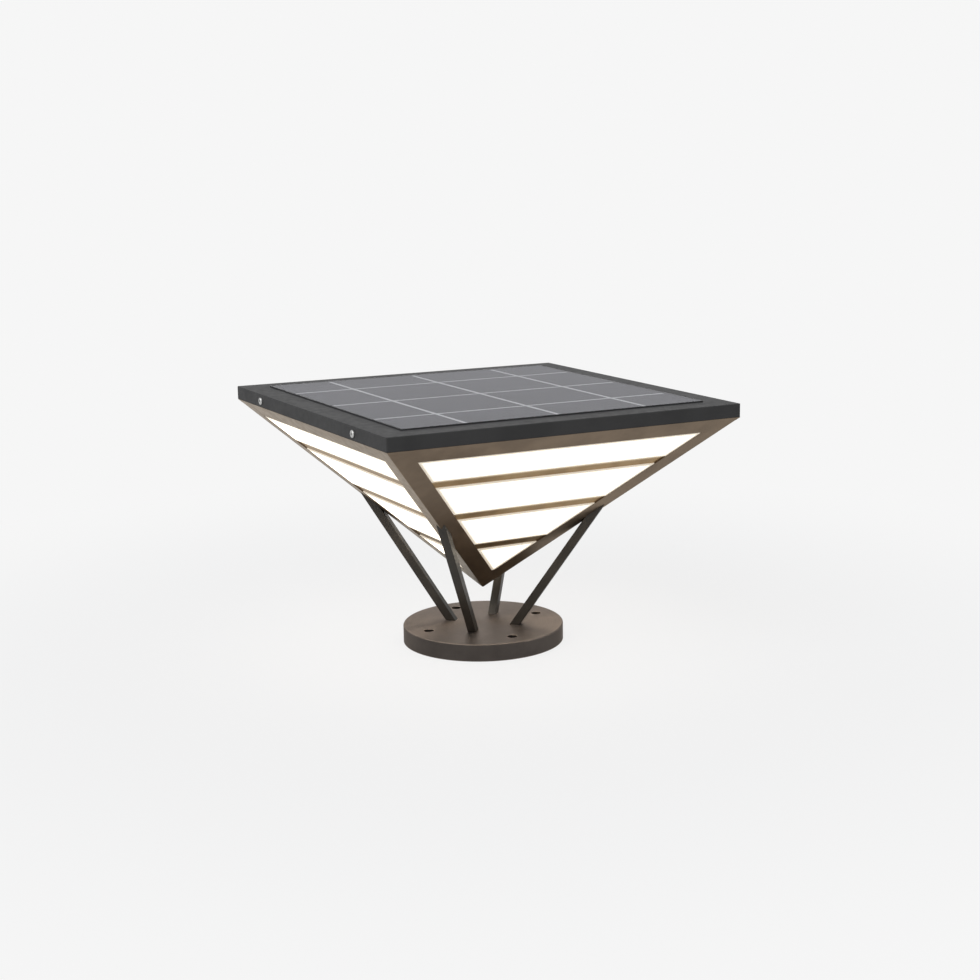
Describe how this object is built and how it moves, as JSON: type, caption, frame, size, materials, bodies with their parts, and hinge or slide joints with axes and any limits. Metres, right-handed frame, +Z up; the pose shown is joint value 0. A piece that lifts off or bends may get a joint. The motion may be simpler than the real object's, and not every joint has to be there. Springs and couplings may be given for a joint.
{
  "type": "solar post light",
  "caption": "Square solar cap on an inverted pyramid lantern with louvre bars between glowing panes, carried by raked legs on a round bolt-down foot.",
  "frame": {"origin": "middle of the foot's underside", "axes": "+Z up; +X and -X towards the two sides with cap screws; -Y towards the front face"},
  "size_m": [0.3032, 0.3, 0.2054],
  "materials": {
    "cap_coat": "graphite powder coat",
    "bronze_coat": "dark bronze powder coat",
    "leg_coat": "dark bronze powder coat on steel bar",
    "foot_coat": "satin bronze coat on a casting",
    "steel": "stainless",
    "nickel": "nickel strip",
    "glass": "matt tempered glass",
    "silicon": "silicon cell",
    "backsheet": "pale laminate",
    "opal": "opal acrylic, lit from inside",
    "rubber": "black EPDM",
    "button_rubber": "red silicone",
    "black_plastic": "moulded",
    "white_coat": "white reflector coat",
    "white_board": "white solder mask",
    "led": "phosphor",
    "wire": "insulated wire",
    "cell_can": "shrink wrap on a can",
    "green_board": "solder mask",
    "components": "moulded"
  },
  "bodies": {
    "lamp_body": {"base_plate": "foot_coat", "leg_foot_screws": "steel", "apex_block": "bronze_coat", "diffuser_seals": "rubber", "leg_front_left": "leg_coat", "rib_front_left": "bronze_coat", "leg_front_right": "leg_coat", "rib_front_right": "bronze_coat", "leg_back_right": "leg_coat", "rib_back_right": "bronze_coat", "leg_back_left": "leg_coat", "rib_back_left": "bronze_coat", "top_rail_front": "bronze_coat", "diffuser_front": "opal", "louvre_front_1": "bronze_coat", "louvre_front_2": "bronze_coat", "louvre_front_3": "bronze_coat", "top_rail_right": "bronze_coat", "diffuser_right": "opal", "louvre_right_1": "bronze_coat", "louvre_right_2": "bronze_coat", "louvre_right_3": "bronze_coat", "top_rail_back": "bronze_coat", "diffuser_back": "opal", "louvre_back_1": "bronze_coat", "louvre_back_2": "bronze_coat", "louvre_back_3": "bronze_coat", "top_rail_left": "bronze_coat", "diffuser_left": "opal", "louvre_left_1": "bronze_coat", "louvre_left_2": "bronze_coat", "louvre_left_3": "bronze_coat"},
    "solar_cap": {"cap_frame": "cap_coat", "cap_seal": "rubber", "cap_screws": "steel", "cap_nuts": "steel", "solar_glass": "glass", "solar_cells": "silicon", "solar_backsheet": "backsheet", "panel_tape": "rubber", "junction_box": "black_plastic", "light_tray": "white_coat", "tray_screws": "steel", "tray_grommet": "rubber", "led_strips": "white_board", "led_chips": "led", "led_jumpers": "wire", "battery_box": "black_plastic", "box_screws": "steel", "battery_cells": "cell_can", "cell_tabs": "nickel", "controller_board": "green_board", "board_screws": "steel", "board_components": "components", "switch_body": "components", "solar_lead": "wire", "led_lead": "wire", "battery_lead": "wire"},
    "switch_button": {"power_button": "button_rubber"}
  },
  "joints": [
    {"name": "cap_lift", "type": "slide", "parent": "lamp_body", "child": "solar_cap", "axis": [0, 0, 1], "range_m": [0, 0.06]},
    {"name": "button_press", "type": "slide", "parent": "solar_cap", "child": "switch_button", "axis": [0, 0, 1], "range_m": [0, 0.0015], "stiffness_N_per_m": 600, "springref_m": -0.001}
  ]
}
